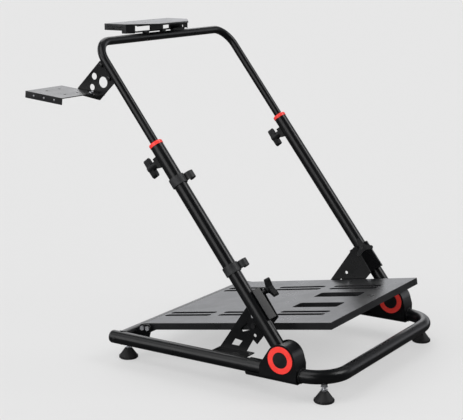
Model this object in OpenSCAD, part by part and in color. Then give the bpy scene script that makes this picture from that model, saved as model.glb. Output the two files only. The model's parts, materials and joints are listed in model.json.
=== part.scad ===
// Folding racing wheel stand: floor frame, folding uprights, telescoping upper frame, pedal plate.
// X runs to the driver's right, Y forward from the driver, Z up from the floor.

/* [Floor frame] */
// Outer diameter of the floor frame and lower upright tubes
main_tube_d = 35; // [28:0.5:40]
// Wall of the floor frame and lower upright tubes
main_wall = 1.5; // [1:0.1:2.5]
// Distance from the pedal plate's side edge to each rail's axis
rail_gap = 57; // [42:1:92]
// Height of the floor frame's tube axes
rail_z = 63.3; // [58:0.1:80]
// Front cross tube's axis, forward of the design origin
front_y = 349; // [330:1:380]
// Rear ends of the rails
rail_end_y = -308; // [-340:1:-300]
// Rear cross tube's axis
rear_cross_y = -282; // [-286:1:-278]
// Centreline radius of the front corners
corner_r = 85; // [70:1:95]

/* [Hinges] */
// Hinge axis, forward of the design origin
hinge_y = 225; // [215:1:235]
// Hinge axis above the floor
hinge_z = 101.3; // [99:0.1:106]
// Backward lean of the uprights
lean = 37.8; // [34:0.1:41]
// Radius of the housing's round top
housing_r = 39.5; // [38:0.5:44]
// Outside width of the housing
housing_w = 50; // [46:1:54]
// Thickness of the housing's sheet
housing_t = 2.5; // [1.5:0.5:3]
// Outside radius of the red ring
ring_r = 34.5; // [30:0.5:36]
// Radius of the black centre cap
cap_r = 20.4; // [16:0.2:24]
// How far the ring stands off the housing
ring_t = 2; // [1:0.5:3]
// Radius of the hinge pin
pin_r = 5; // [4:0.5:7]

/* [Uprights] */
// Length of the lower tubes from the hinge axis
lower_len = 621; // [560:1:660]
// Height of the collar's cap above the lower tube
collar_cap = 10; // [6:1:16]
// Outer diameter of the upper tube
upper_tube_d = 22; // [19:0.5:25]
// Wall of the upper tube
upper_wall = 1.5; // [1:0.1:2]
// Distance from the hinge axis to the top bar's axis
upper_len = 939; // [900:1:980]
// Distance from the hinge axis to the upper tube's lower ends
upper_foot = 400; // [360:1:440]
// Centreline radius of the upper tube's bends
top_bend_r = 58; // [50:1:75]

/* [Pedal plate] */
// Half width of the pedal plate
pedal_half_w = 248; // [240:1:249]
// Length of the pedal plate along its slope
pedal_len = 575.5; // [540:1:585]
// Slope of the pedal plate
pedal_tilt = 9.7; // [8:0.1:12]
// Depth of the pedal plate's bent lips
pedal_lip = 18; // [15:1:22]
// Thickness of the pedal plate's sheet
pedal_t = 2; // [1.5:0.5:2.5]

/* [Wheel plate] */
// Height of the wheel plate's top above the top bar's axis
wheel_rise = 36.24444; // [26:0.5:42]
// Half width of the wheel plate at its rear
wheel_half_w = 144; // [130:1:160]
// Half width of the wheel plate's front edge
wheel_nose_half_w = 67; // [55:1:80]
// Rear edge of the wheel plate
wheel_rear_y = -444.5; // [-450:1:-430]
// Where the wheel plate's front corners start
wheel_corner_y = -372; // [-385:1:-360]
// Front edge of the wheel plate
wheel_front_y = -315; // [-320:1:-305]
// Depth of the wheel plate's bent lips
wheel_lip = 17.5; // [12:0.5:22]

/* [Shifter plate] */
// Width of the shifter plate
shifter_w = 143; // [120:1:160]
// Length of the shifter plate
shifter_len = 121; // [110:1:130]
// Slope of the shifter plate, front down
shifter_tilt = 5.2; // [3:0.1:8]
// Depth of the shifter plate's bent lips
shifter_lip = 17.7; // [12:0.5:20]

/* [Feet] */
// Largest radius of a rubber foot
foot_r = 25; // [20:0.5:28]
// Height of a rubber foot
foot_h = 28; // [22:1:32]

/* [Hidden] */

$fn = 64;
fine_fn = 32;
black = "#26282a";
satin = "#303234";
red = "#e23a30";
zinc = "#b9bcc0";
over = 2;
seat_gap = 0.3;
pin_gap = 0.1;

main_r = main_tube_d / 2;
main_bore_r = main_r - main_wall;
upper_r = upper_tube_d / 2;
upper_bore_r = upper_r - upper_wall;
rail_x = pedal_half_w + rail_gap;

// The part's origin is at the middle of its footprint, on the floor
shifter_inner_x = rail_x - 10;
shifter_y0 = -471;
part_x_max = shifter_inner_x + shifter_w;
part_x_min = -(rail_x + housing_w / 2 + ring_t);
part_y_max = front_y + main_r;
part_y_min = shifter_y0;
mid_x = (part_x_max + part_x_min) / 2;
mid_y = (part_y_max + part_y_min) / 2;

module in_part() translate([-mid_x, -mid_y, 0]) children();
module on_side(s) in_part() mirror([s > 0 ? 0 : 1, 0, 0]) children();
// Along an upright: Z runs up the tube from the hinge axis, Y is square to it on the front side
module along_upright() translate([rail_x, hinge_y, hinge_z]) rotate([lean, 0, 0]) children();
module along_x() rotate([0, 90, 0]) children();
module along_y() rotate([-90, 0, 0]) children();
// A profile drawn in Y and Z, extruded along X
module yz_sheet(t) rotate([90, 0, 90]) linear_extrude(t) children();
module tube_bore(r, bore, len) difference() {
    cylinder(r = r, h = len);
    translate([0, 0, -over]) cylinder(r = bore, h = len + 2 * over);
}

// Point where a line from p touches a circle, on the side given by s
function touch(c, r, p, s) =
    let (d = p - c, a = atan2(d[1], d[0]) + s * acos(r / norm(d))) c + r * [cos(a), sin(a)];

// Floor frame
leg_start_y = hinge_y - 10;
foot_stud_r = 4;
foot_turn = 43;
rear_foot_inset = 31.5;
corner_x = rail_x - corner_r;
corner_y = front_y - corner_r;
foot_front = [corner_x + corner_r * cos(foot_turn), corner_y + corner_r * sin(foot_turn)];
foot_rear = [rail_x - rear_foot_inset, rear_cross_y];
tube_bottom_z = rail_z - main_r;

module stud_hole(p) translate([p[0], p[1], rail_z - main_r - over])
    cylinder(r = foot_stud_r + pin_gap, h = main_r + over, $fn = fine_fn);

module u_form(r) {
    for (s = [-1, 1]) {
        translate([s * rail_x, leg_start_y, rail_z]) along_y() cylinder(r = r, h = corner_y - leg_start_y);
        translate([s * corner_x, corner_y, rail_z]) rotate([0, 0, s > 0 ? 0 : 90])
            rotate_extrude(angle = 90) translate([corner_r, 0]) circle(r = r);
    }
    translate([-corner_x, front_y, rail_z]) along_x() cylinder(r = r, h = 2 * corner_x);
}
module front_tube() color(satin) in_part() difference() {
    u_form(main_r);
    u_form(main_bore_r);
    for (s = [-1, 1])
        translate([s * rail_x, leg_start_y - over, rail_z]) along_y()
            cylinder(r = main_bore_r, h = 2 * over);
    for (s = [-1, 1]) stud_hole([s * foot_front[0], foot_front[1]]);
}

rail_bolt_back = 14;
rail_bolt_r = 3;
module rail(s) color(satin) on_side(s) difference() {
    translate([rail_x, rail_end_y, rail_z]) along_y()
        tube_bore(main_r, main_bore_r, leg_start_y - rail_end_y);
    translate([rail_x - main_tube_d, rail_end_y + rail_bolt_back, rail_z]) along_x()
        cylinder(r = rail_bolt_r, h = 2 * main_tube_d, $fn = fine_fn);
}
module rail_right() rail(1);
module rail_left() rail(-1);

module rear_cross_tube() color(satin) in_part() difference() {
    translate([-rail_x, rear_cross_y, rail_z]) along_x() cylinder(r = main_r, h = 2 * rail_x);
    translate([-rail_x, rear_cross_y, rail_z]) along_x() cylinder(r = main_bore_r, h = 2 * rail_x);
    for (s = [-1, 1]) {
        translate([s * rail_x, rail_end_y, rail_z]) along_y()
            cylinder(r = main_r, h = 2 * (rear_cross_y - rail_end_y));
        stud_hole([s * foot_rear[0], foot_rear[1]]);
    }
}

plug_rim = 4;
plug_depth = 8;
module rail_plugs() color(black) for (s = [-1, 1]) on_side(s)
    translate([rail_x, rail_end_y, rail_z]) along_y() {
        translate([0, 0, -plug_rim]) cylinder(r1 = main_r - plug_rim / 2, r2 = main_r, h = plug_rim);
        difference() {
            cylinder(r = main_bore_r, h = plug_depth);
            translate([0, 0, plug_rim / 2]) cylinder(r = main_bore_r - plug_rim / 2, h = plug_depth);
        }
    }

// Feet: a ribbed rubber bell on a zinc stud
rib_count = 18;
rib_r = 1.6;
foot_top_r_share = 0.42;
foot_skirt = 6;
foot_neck_share = 0.78;
stud_nut_h = 6;
stud_nut_r = 8;
stud_in_foot = 8;
module foot(p) color(black) translate([p[0], p[1], 0]) difference() {
    union() {
        rotate_extrude() polygon([[0, 0], [foot_r - rib_r, 0], [foot_r, rib_r], [foot_r, foot_skirt],
            [foot_r * foot_neck_share, foot_h / 2], [foot_r * foot_top_r_share, foot_h - rib_r],
            [foot_r * foot_top_r_share - rib_r, foot_h], [0, foot_h]]);
        for (i = [0:rib_count - 1]) rotate([0, 0, i * 360 / rib_count])
            translate([foot_r - rib_r / 2, 0, rib_r]) cylinder(r = rib_r, h = foot_skirt, $fn = 16);
    }
    translate([0, 0, foot_h - stud_in_foot]) cylinder(r = foot_stud_r + pin_gap, h = foot_h, $fn = fine_fn);
}
module foot_front_right() in_part() foot(foot_front);
module foot_front_left() in_part() foot([-foot_front[0], foot_front[1]]);
module foot_rear_right() in_part() foot(foot_rear);
module foot_rear_left() in_part() foot([-foot_rear[0], foot_rear[1]]);
module foot_studs() color(zinc) in_part() for (p = [foot_front, foot_rear]) for (s = [-1, 1])
    translate([s * p[0], p[1], 0]) {
        translate([0, 0, foot_h - stud_in_foot])
            cylinder(r = foot_stud_r, h = rail_z - foot_h, $fn = fine_fn);
        translate([0, 0, tube_bottom_z - stud_nut_h]) cylinder(r = stud_nut_r, h = stud_nut_h, $fn = 6);
        translate([0, 0, foot_h]) cylinder(r = stud_nut_r, h = stud_nut_h / 2, $fn = 6);
    }

// Hinge housing: folded sheet around the rail, round at the hinge, open where the upright leans back
housing_x = housing_w / 2;
housing_front = 44.5;
housing_heel = 60;
housing_step = 22;
housing_fold_r = 12;
housing_floor_z = tube_bottom_z - housing_t;
band_end = 92;
sleeve_t = 3;
sleeve_back = 101;
sleeve_len = sleeve_back - housing_heel;
fit_gap = 0.05;
hinge_point = [hinge_y, hinge_z];
heel_corner = [hinge_y - housing_heel, hinge_z - housing_step];
toe_corner = [hinge_y + housing_front, hinge_z - housing_step / 2];
housing_fold_z = housing_floor_z + housing_fold_r;

tongue = sleeve_back - housing_heel;
module housing_top(r, toe) {
    translate(hinge_point) circle(r = r);
    polygon([hinge_point, touch(hinge_point, r, toe, 1), toe,
        [toe[0], housing_fold_z], [hinge_y, housing_fold_z]]);
}
module housing_side_outline() {
    housing_top(housing_r, toe_corner);
    polygon([[heel_corner[0], housing_fold_z], [hinge_y, housing_fold_z], hinge_point,
        touch(hinge_point, housing_r, heel_corner, -1), heel_corner]);
}
module housing_fold_outline() difference() {
    translate([-housing_x, housing_floor_z]) union() {
        translate([housing_fold_r, 0]) square([housing_w - 2 * housing_fold_r, housing_fold_r]);
        for (x = [housing_fold_r, housing_w - housing_fold_r])
            translate([x, housing_fold_r]) circle(r = housing_fold_r);
    }
    translate([-housing_x, housing_fold_z]) square([housing_w, housing_fold_r]);
    translate([-housing_x + housing_t, housing_floor_z + housing_t]) union() {
        translate([housing_fold_r - housing_t, 0])
            square([housing_w - 2 * housing_fold_r, housing_fold_r - housing_t]);
        for (x = [housing_fold_r - housing_t, housing_w - housing_fold_r - housing_t])
            translate([x, housing_fold_r - housing_t]) circle(r = housing_fold_r - housing_t);
    }
}
module hinge_housing(s) color(satin) on_side(s) difference() {
    union() {
        for (x = [rail_x - housing_x, rail_x + housing_x - housing_t])
            translate([x, 0, 0]) yz_sheet(housing_t) housing_side_outline();
        translate([rail_x, heel_corner[0] - tongue, 0]) rotate([90, 0, 0]) mirror([0, 0, 1])
            linear_extrude(toe_corner[0] - heel_corner[0] + tongue) housing_fold_outline();
        translate([rail_x - housing_x, 0, 0]) yz_sheet(housing_w) difference() {
            housing_top(housing_r, toe_corner);
            housing_top(housing_r - housing_t, toe_corner - [housing_t, 0]);
            translate([hinge_y - housing_r - over, housing_floor_z - over])
                square([housing_r + over + housing_r * cos(band_end), 3 * housing_r]);
            translate([hinge_y, housing_floor_z - over])
                square([2 * housing_front, rail_z + main_r / 2 - housing_floor_z]);
        }
    }
    translate([rail_x, heel_corner[0] - tongue - over, rail_z]) along_y()
        cylinder(r = main_r + fit_gap, h = front_y - hinge_y + tongue);
    translate([rail_x - housing_w, hinge_y, hinge_z]) along_x()
        cylinder(r = pin_r + fit_gap, h = 2 * housing_w);
}
module sleeve(s) on_side(s) translate([rail_x, hinge_y - sleeve_back, rail_z]) along_y()
    tube_bore(main_r + sleeve_t, main_r, sleeve_len);
module hinge_housing_right() {
    hinge_housing(1);
    color(satin) sleeve(1);
}
module hinge_housing_left() {
    hinge_housing(-1);
    color(satin) sleeve(-1);
}

module hinge_rings(s) color(red) on_side(s)
    for (x = [-housing_x - ring_t, housing_x])
        translate([rail_x + x, hinge_y, hinge_z]) along_x() difference() {
            cylinder(r = ring_r, h = ring_t);
            translate([0, 0, -over]) cylinder(r = cap_r, h = ring_t + 2 * over);
        }
module hinge_rings_right() hinge_rings(1);
module hinge_rings_left() hinge_rings(-1);

cap_t = 1.5;
module hinge_pin(s) color(black) on_side(s) translate([rail_x, hinge_y, hinge_z]) along_x() {
    translate([0, 0, -housing_x - cap_t]) cylinder(r = pin_r, h = housing_w + 2 * cap_t);
    for (z = [-housing_x - cap_t, housing_x]) translate([0, 0, z]) cylinder(r = cap_r, h = cap_t);
}
module hinge_pin_right() hinge_pin(1);
module hinge_pin_left() hinge_pin(-1);

// Brace plates, each with two windows, a three-hole tilt arc and a foot on the rail
brace_gap = 5;
brace_x = pedal_half_w + brace_gap;
brace_t = 3;
brace_hole_r = 4.5;
pivot = [-247, 84];
tilt_step = 4;
tilt_bolt_at = [103.3, 148.7];
tilt_arc_r = norm(tilt_bolt_at - pivot);
tilt_arc_a = atan2(tilt_bolt_at[1] - pivot[1], tilt_bolt_at[0] - pivot[0]);
function tilt_hole(i) =
    let (a = tilt_arc_a + i * tilt_step) pivot + tilt_arc_r * [cos(a), sin(a)];
brace_foot = [0.5, 75];
brace_toe = [80, 75];
brace_flange_back = 2;
brace_flange_front = 104;
brace_outline = [brace_foot, [114, 243], [118, 249], [124, 251], [130, 247], [175, 184], [113.5, 102],
    [101.5, 112.4], brace_toe];
lower_window = [[47.7, 106.3], [70.1, 103.7], [58.2, 88], [36, 88]];
upper_window = [[64.6, 135.8], [82.1, 153.2], [93.9, 137.2], [69.7, 127.5]];
brace_foot_t = 3;
brace_foot_edge = 9;
brace_foot_w = rail_x - brace_x - brace_foot_edge;

module brace(s) color(satin) on_side(s) {
    difference() {
        translate([brace_x, 0, 0]) yz_sheet(brace_t) difference() {
            polygon(brace_outline);
            polygon(lower_window);
            polygon(upper_window);
        }
        for (i = [-1, 0, 1]) translate([brace_x - over, tilt_hole(i)[0], tilt_hole(i)[1]])
            along_x() cylinder(r = brace_hole_r, h = brace_t + 2 * over);
    }
    difference() {
        translate([brace_x, brace_flange_back, brace_foot[1]])
            cube([brace_foot_w, brace_flange_front - brace_flange_back, brace_foot_t]);
        translate([rail_x, rail_end_y, rail_z]) along_y()
            cylinder(r = main_r + fit_gap, h = leg_start_y - rail_end_y);
    }
}
module brace_right() brace(1);
module brace_left() brace(-1);

// Clamp cradle: a folded saddle on the brace's outer side that takes the clamp knob's screw
cradle_low = 98;
cradle_high = 181;
cradle_t = 3;
cradle_seat = rail_x - brace_x - brace_t - cradle_t / 2;
cradle_path = [[cradle_seat, -12], [cradle_seat, -3], [35, 6], [14, 30.5], [-6, 22]];
knob_dir = [0.849, 0.528];
knob_turn = 180 - atan2(knob_dir[1], knob_dir[0]);
clamp_at = 167;
clamp_turns = [180, 210];
clamp_screw_r = 3;
// Sheet of thickness t along a path: unit vector along leg i, and the mitred offset of corner i
function leg(path, i) = (path[i + 1] - path[i]) / norm(path[i + 1] - path[i]);
function across(v) = [-v[1], v[0]];
function mitre(path, i, t) =
    let (last = len(path) - 1, a = across(leg(path, max(i - 1, 0))), b = across(leg(path, min(i, last - 1))))
        path[i] + t / 2 * (a + b) / (1 + a * b);
module path_sheet(path, t) {
    last = len(path) - 1;
    polygon(concat([for (i = [0:last]) mitre(path, i, t)], [for (i = [0:last]) mitre(path, last - i, -t)]));
}
module clamp_cradle(s) color(satin) on_side(s) along_upright() difference() {
    translate([0, 0, cradle_low]) linear_extrude(cradle_high - cradle_low) mirror([1, 0, 0])
        path_sheet(cradle_path, cradle_t);
    translate([0, 0, clamp_at]) rotate([0, 0, knob_turn]) along_x()
        cylinder(r = clamp_screw_r + pin_gap, h = main_tube_d * 2, $fn = fine_fn);
}
module clamp_cradle_right() clamp_cradle(1);
module clamp_cradle_left() clamp_cradle(-1);

// Wing knobs: lobes around a hub, on a screw
module lobed_knob(lobes, reach, hub_r, lobe_r, h) linear_extrude(h) {
    circle(r = hub_r, $fn = fine_fn);
    for (i = [0:lobes - 1]) rotate(i * 360 / lobes) {
        translate([reach, 0]) circle(r = lobe_r, $fn = fine_fn);
        polygon([[0, -hub_r * 3 / 4], [reach, -lobe_r], [reach, lobe_r], [0, hub_r * 3 / 4]]);
    }
}
clamp_lobes = 3;
clamp_reach = 23;
clamp_hub_r = 11;
clamp_lobe_r = 5.5;
clamp_knob_h = 13;
clamp_knob_from = 55;
module clamp_knob(s) color(black) on_side(s) along_upright() translate([0, 0, clamp_at])
    rotate([0, 0, knob_turn]) along_x() {
        translate([0, 0, main_r + seat_gap])
            cylinder(r = clamp_screw_r, h = clamp_knob_from - main_r, $fn = fine_fn);
        translate([0, 0, clamp_knob_from]) rotate(clamp_turns[s > 0 ? 1 : 0])
            lobed_knob(clamp_lobes, clamp_reach, clamp_hub_r, clamp_lobe_r, clamp_knob_h);
        translate([0, 0, clamp_knob_from - clamp_knob_h / 2])
            cylinder(r = clamp_hub_r * 3 / 4, h = clamp_knob_h, $fn = fine_fn);
    }
module clamp_knob_right() clamp_knob(1);
module clamp_knob_left() clamp_knob(-1);

// Rear pedal brackets on the cross tube, with the pivot bolt and a locking bolt
lock_at = [-229.6, 85.5];
bolt_r = 4;
bolt_head_r = 7;
bolt_head_h = 4;
screw_head_r = 6;
bracket_t = brace_t;
bracket_tab_r = 11;
bracket_low_y = rear_cross_y + main_r;
module pedal_bracket(s) color(satin) on_side(s) difference() {
    translate([brace_x, 0, 0]) yz_sheet(bracket_t) {
        for (p = [pivot, lock_at]) translate(p) circle(r = bracket_tab_r, $fn = fine_fn);
        polygon([[rear_cross_y, rail_z + main_r / 2], [rear_cross_y + main_r / 2, rail_z - main_r],
            [lock_at[0], rail_z - main_r], [lock_at[0] + bracket_tab_r, lock_at[1]],
            [lock_at[0], lock_at[1] + bracket_tab_r], [pivot[0], pivot[1] + bracket_tab_r]]);
    }
    translate([0, rear_cross_y, rail_z]) along_x() cylinder(r = main_r, h = rail_x);
    for (p = [pivot, lock_at]) translate([0, p[0], p[1]]) along_x()
        cylinder(r = bolt_r, h = rail_x, $fn = fine_fn);
}
module pedal_bracket_right() pedal_bracket(1);
module pedal_bracket_left() pedal_bracket(-1);

module side_bolt(p, tip_x, from_x) translate([tip_x, p[0], p[1]]) along_x() {
    cylinder(r = bolt_r, h = from_x - tip_x + over, $fn = fine_fn);
    translate([0, 0, from_x - tip_x]) cylinder(r = bolt_head_r, h = bolt_head_h, $fn = 6);
}
pivot_engaged = 8;
pivot_tip_x = pedal_half_w - pivot_engaged;
tilt_head_x = brace_x + brace_t;
tilt_washer_r = bolt_head_r;
tilt_washer_t = 1;
module pedal_bolts() color(zinc) for (s = [-1, 1]) on_side(s) {
    side_bolt(pivot, pivot_tip_x, brace_x + bracket_t);
    side_bolt(lock_at, pedal_half_w + seat_gap, brace_x + bracket_t);
    side_bolt(tilt_bolt_at, pedal_half_w + seat_gap, tilt_head_x);
    translate([brace_x + brace_t, tilt_bolt_at[0], tilt_bolt_at[1]]) along_x()
        cylinder(r = tilt_washer_r, h = tilt_washer_t);
}

// Uprights: a lower tube with its round end on the hinge pin, a red collar and the height knob
knuckle_rise = 0.5;
knuckle_r = main_r + knuckle_rise;
rivet_drop = 10;
rivet_at = lower_len - rivet_drop;
rivet_r = 3.3;
rivet_proud = 1;
boss_drop = 36;
boss_at = lower_len - boss_drop;
boss_len = 28;
boss_w = 20;
boss_proud = 18;
screw_r = 3;
collar_lip = 1;
bush_len = 60;
slide_gap = 0.3;
module upright(s) color(satin) on_side(s) along_upright() difference() {
    translate([0, 0, -main_r]) cylinder(r = main_r, h = main_r + lower_len);
    translate([0, 0, main_tube_d]) cylinder(r = main_bore_r, h = lower_len);
    translate([-main_tube_d, 0, 0]) along_x() cylinder(r = pin_r + fit_gap, h = 2 * main_tube_d);
    difference() {
        translate([-main_tube_d, -main_tube_d, -main_tube_d])
            cube([2 * main_tube_d, 2 * main_tube_d, main_tube_d]);
        translate([-main_tube_d, 0, 0]) along_x() cylinder(r = knuckle_r, h = 2 * main_tube_d);
    }
    translate([0, -main_tube_d, boss_at]) along_y()
        cylinder(r = screw_r + pin_gap, h = main_tube_d, $fn = fine_fn);
    translate([0, -main_tube_d, rivet_at]) along_y() cylinder(r = rivet_r, h = main_tube_d, $fn = fine_fn);
}
module upright_right() upright(1);
module upright_left() upright(-1);

module height_collar(s) color(red) on_side(s) along_upright() difference() {
    union() {
        translate([0, 0, lower_len]) cylinder(r = main_r + collar_lip, h = collar_cap - 2 * collar_lip);
        translate([0, 0, lower_len + collar_cap - 2 * collar_lip])
            cylinder(r1 = main_r + collar_lip, r2 = main_r - collar_lip, h = 2 * collar_lip);
        translate([0, 0, lower_len - bush_len]) cylinder(r = main_bore_r, h = bush_len);
    }
    translate([0, 0, lower_len - bush_len - over])
        cylinder(r = upper_r + slide_gap, h = bush_len + collar_cap + 2 * over);
    translate([0, -main_tube_d, boss_at]) along_y()
        cylinder(r = screw_r + pin_gap, h = main_tube_d, $fn = fine_fn);
    translate([0, -main_tube_d, rivet_at]) along_y() cylinder(r = rivet_r, h = main_tube_d, $fn = fine_fn);
}
module height_collar_right() height_collar(1);
module height_collar_left() height_collar(-1);

module upright_rivets() color(red) for (s = [-1, 1]) on_side(s) along_upright()
    translate([0, -main_r - rivet_proud, rivet_at]) along_y() {
        cylinder(r = rivet_r, h = main_wall + 2 * rivet_proud, $fn = fine_fn);
    }

module knob_boss(s) color(black) on_side(s) along_upright() difference() {
    translate([0, 0, boss_at]) {
        translate([-boss_w / 2, -main_r - boss_proud / 2, -boss_len / 2]) cube([boss_w, main_r, boss_len]);
        translate([0, -main_r - boss_proud, 0]) along_y() cylinder(r = boss_w / 2, h = boss_proud);
    }
    cylinder(r = main_r, h = lower_len);
    translate([0, -2 * main_tube_d, boss_at]) along_y()
        cylinder(r = screw_r + pin_gap, h = 2 * main_tube_d, $fn = fine_fn);
}
module knob_boss_right() knob_boss(1);
module knob_boss_left() knob_boss(-1);

height_lobes = 2;
height_reach = 20;
height_hub_r = 10;
height_lobe_r = 7;
height_knob_h = 15;
module height_knob(s) color(black) on_side(s) along_upright()
    translate([0, 0, boss_at]) rotate([90, 0, 0]) {
        translate([0, 0, upper_r + slide_gap])
            cylinder(r = screw_r, h = main_r + boss_proud - upper_r, $fn = fine_fn);
        translate([0, 0, main_r + boss_proud + seat_gap]) rotate([0, 0, 90]) {
            cylinder(r = height_hub_r, h = height_knob_h, $fn = fine_fn);
            translate([0, 0, height_knob_h / 2])
                lobed_knob(height_lobes, height_reach, height_hub_r, height_lobe_r, height_knob_h);
        }
    }
module height_knob_right() height_knob(1);
module height_knob_left() height_knob(-1);

// Cable clips: a band round the right upright with an open hook on its inner front side
clip_t = 2.5;
clip_w = 24;
clip_hook_w = 16;
hook_r = 12;
hook_open = 62;
module cable_clip(at) color(black) on_side(1) along_upright() translate([0, 0, at - clip_w / 2]) {
    tube_bore(main_r + clip_t, main_r, clip_w);
    translate([0, 0, (clip_w - clip_hook_w) / 2]) rotate([0, 0, knob_turn])
        translate([main_r + hook_r, 0, 0]) difference() {
            cylinder(r = hook_r, h = clip_hook_w, $fn = fine_fn);
            translate([0, 0, -over])
                cylinder(r = hook_r - clip_t, h = clip_hook_w + 2 * over, $fn = fine_fn);
            rotate([0, 0, hook_open]) translate([0, 0, -over])
                cube([2 * hook_r, 2 * hook_r, clip_hook_w + 2 * over]);
        }
}
upper_clip_drop = 106;
upper_clip_at = lower_len - upper_clip_drop;
lower_clip_at = 254;
module cable_clip_upper() cable_clip(upper_clip_at);
module cable_clip_lower() cable_clip(lower_clip_at);

// Upper frame: one bent tube that slides in both uprights
top_x = rail_x - top_bend_r;
top_leg_end = upper_len - top_bend_r;
module top_form(r) {
    for (s = [-1, 1]) {
        translate([s * rail_x, 0, upper_foot]) cylinder(r = r, h = top_leg_end - upper_foot);
        translate([s * top_x, 0, top_leg_end]) rotate([90, 0, 0]) rotate([0, 0, s > 0 ? 0 : 90])
            rotate_extrude(angle = 90) translate([top_bend_r, 0]) circle(r = r);
    }
    translate([-top_x, 0, upper_len]) along_x() cylinder(r = r, h = 2 * top_x);
}
module upper_frame() in_part() translate([0, hinge_y, hinge_z]) rotate([lean, 0, 0]) children();
module top_tube() color(satin) upper_frame() difference() {
    top_form(upper_r);
    top_form(upper_bore_r);
    for (s = [-1, 1]) translate([s * rail_x, 0, upper_foot - over]) cylinder(r = upper_bore_r, h = 2 * over);
}

// Wheel plate on its bracket
wheel_t = 2.5;
wheel_bar_y = hinge_y - upper_len * sin(lean);
wheel_bar_z = hinge_z + upper_len * cos(lean);
wheel_z = wheel_bar_z + wheel_rise;
wheel_outline = [[-wheel_half_w, wheel_rear_y], [wheel_half_w, wheel_rear_y], [wheel_half_w, wheel_corner_y],
    [wheel_nose_half_w, wheel_front_y], [-wheel_nose_half_w, wheel_front_y], [-wheel_half_w, wheel_corner_y]];
wheel_hem = 5;
ear_front_y = -358;
ear_back_y = -386;
ear_gap = 0.3;
ear_depth = wheel_z - (wheel_bar_z + upper_r + ear_gap);
wheel_hole_r = 3;
wheel_side_hole_r = 2.5;
wheel_side_holes = 3;
side_hole_step = (wheel_corner_y - wheel_rear_y) / wheel_side_holes;
wheel_hole_x = 60;
wheel_hole_span_y = 60;
wheel_hole_y = -400;
module wheel_rim(depth, from_y, to_y) translate([0, 0, wheel_z - depth]) linear_extrude(depth)
    intersection() {
        difference() {
            polygon(wheel_outline);
            offset(delta = -wheel_t) polygon(wheel_outline);
        }
        translate([-wheel_half_w, from_y]) square([2 * wheel_half_w, to_y - from_y]);
    }
module wheel_plate() color(satin) in_part() difference() {
    union() {
        translate([0, 0, wheel_z - wheel_t]) linear_extrude(wheel_t) polygon(wheel_outline);
        for (s = [-1, 1])
            translate([s * (wheel_half_w - wheel_t / 2) - wheel_t / 2, wheel_rear_y, wheel_z - wheel_lip])
                cube([wheel_t, wheel_corner_y - wheel_rear_y, wheel_lip]);
        wheel_rim(ear_depth, ear_back_y, ear_front_y);
        wheel_rim(wheel_hem, wheel_rear_y, wheel_front_y);
    }
    for (x = [-wheel_hole_x, wheel_hole_x]) for (y = [-1, 1])
        translate([x, wheel_hole_y + y * wheel_hole_span_y / 2, wheel_z - wheel_lip - over])
            cylinder(r = wheel_hole_r, h = wheel_lip + 2 * over, $fn = fine_fn);
    for (i = [0:wheel_side_holes - 1])
        translate([-2 * wheel_half_w, wheel_rear_y + (i + 1 / 2) * side_hole_step, wheel_z - wheel_lip / 2])
            along_x() cylinder(r = wheel_side_hole_r, h = 4 * wheel_half_w, $fn = fine_fn);
}

// Wheel bracket: a windowed sheet between the plate's ears, on feet that are fixed to the top bar
strip_left = -104;
strip_right = 120.6;
web_left = -94;
web_right = 115;
strip_t = 3;
strip_rise = 13.24444;
strip_z = wheel_bar_z + strip_rise;
strip_back_y = -366;
strip_front_y = -353;
web_y = -357.5;
web_windows = [[-32, 30], [57, 64]];
web_window_h = 13;
feet = [[-94, 54], [-4, 15], [73, 17]];
foot_front_y = -347;
strip_top = wheel_z - wheel_t;
module wheel_bracket() color(satin) in_part() difference() {
    union() {
        translate([strip_left, strip_back_y, strip_z])
            cube([strip_right - strip_left, strip_front_y - strip_back_y, strip_t]);
        difference() {
            translate([web_left, web_y, strip_z]) cube([web_right - web_left, strip_t, strip_top - strip_z]);
            for (w = web_windows) translate([w[0], web_y - over, strip_z + strip_t])
                cube([w[1], strip_t + 2 * over, web_window_h]);
        }
        for (f = feet) translate([f[0], web_y, wheel_bar_z])
            cube([f[1], foot_front_y - web_y, strip_z + strip_t - wheel_bar_z]);
    }
    translate([-rail_x, wheel_bar_y, wheel_bar_z]) along_x()
        cylinder(r = upper_r + fit_gap, h = 2 * rail_x);
}
strip_bolt_x = 30;
strip_bolt_back = 5;
module wheel_bolts() color(zinc) in_part() for (x = [-wheel_hole_x - strip_bolt_x, strip_bolt_x])
    translate([x, web_y - strip_bolt_back, strip_z + strip_t])
        cylinder(r = bolt_head_h, h = bolt_head_h, $fn = 6);

// Shifter bracket on the right leg of the upper tube
side_t = 3;
side_x = rail_x - upper_r - side_t;
side_outline = [[-343, 796], [-418.4, 721.2], [-418.4, 704], [-346.5, 693.5], [-314.4, 724.7],
    [-291.6, 746.1], [-284, 755], [-284, 763]];
side_holes = [[-363, 755, 9], [-370.5, 726, 8.5], [-334, 741, 14.4]];
side_bolts = [[-339, 785], [-313.6, 752]];
shifter_z = 724.7;
shifter_t = 2.5;
shifter_corner = 34;
flange_w = 28;
flange_inset = 1;
flange_from = 53;
flange_to = 141;
plate_bolt_out = 7;
plate_bolt_y = -358;
plate_bolt = [rail_x + plate_bolt_out, plate_bolt_y];
module shifter_bracket() color(satin) in_part() difference() {
    union() {
        translate([side_x, 0, 0]) yz_sheet(side_t) polygon(side_outline);
        translate([side_x, shifter_y0, shifter_z]) rotate([-shifter_tilt, 0, 0])
            translate([0, flange_from, -shifter_t - side_t])
                cube([flange_w, flange_to - flange_from, side_t]);
    }
    translate([rail_x, hinge_y, hinge_z]) rotate([lean, 0, 0]) cylinder(r = upper_r, h = upper_len);
    for (h = side_holes) translate([side_x - over, h[0], h[1]]) along_x()
        cylinder(r = h[2], h = side_t + 2 * over);
    for (b = side_bolts) translate([side_x - over, b[0], b[1]]) along_x()
        cylinder(r = screw_r, h = side_t + 2 * over, $fn = fine_fn);
}
plate_hole_r = 3;
shifter_hole_dx = 50;
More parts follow.
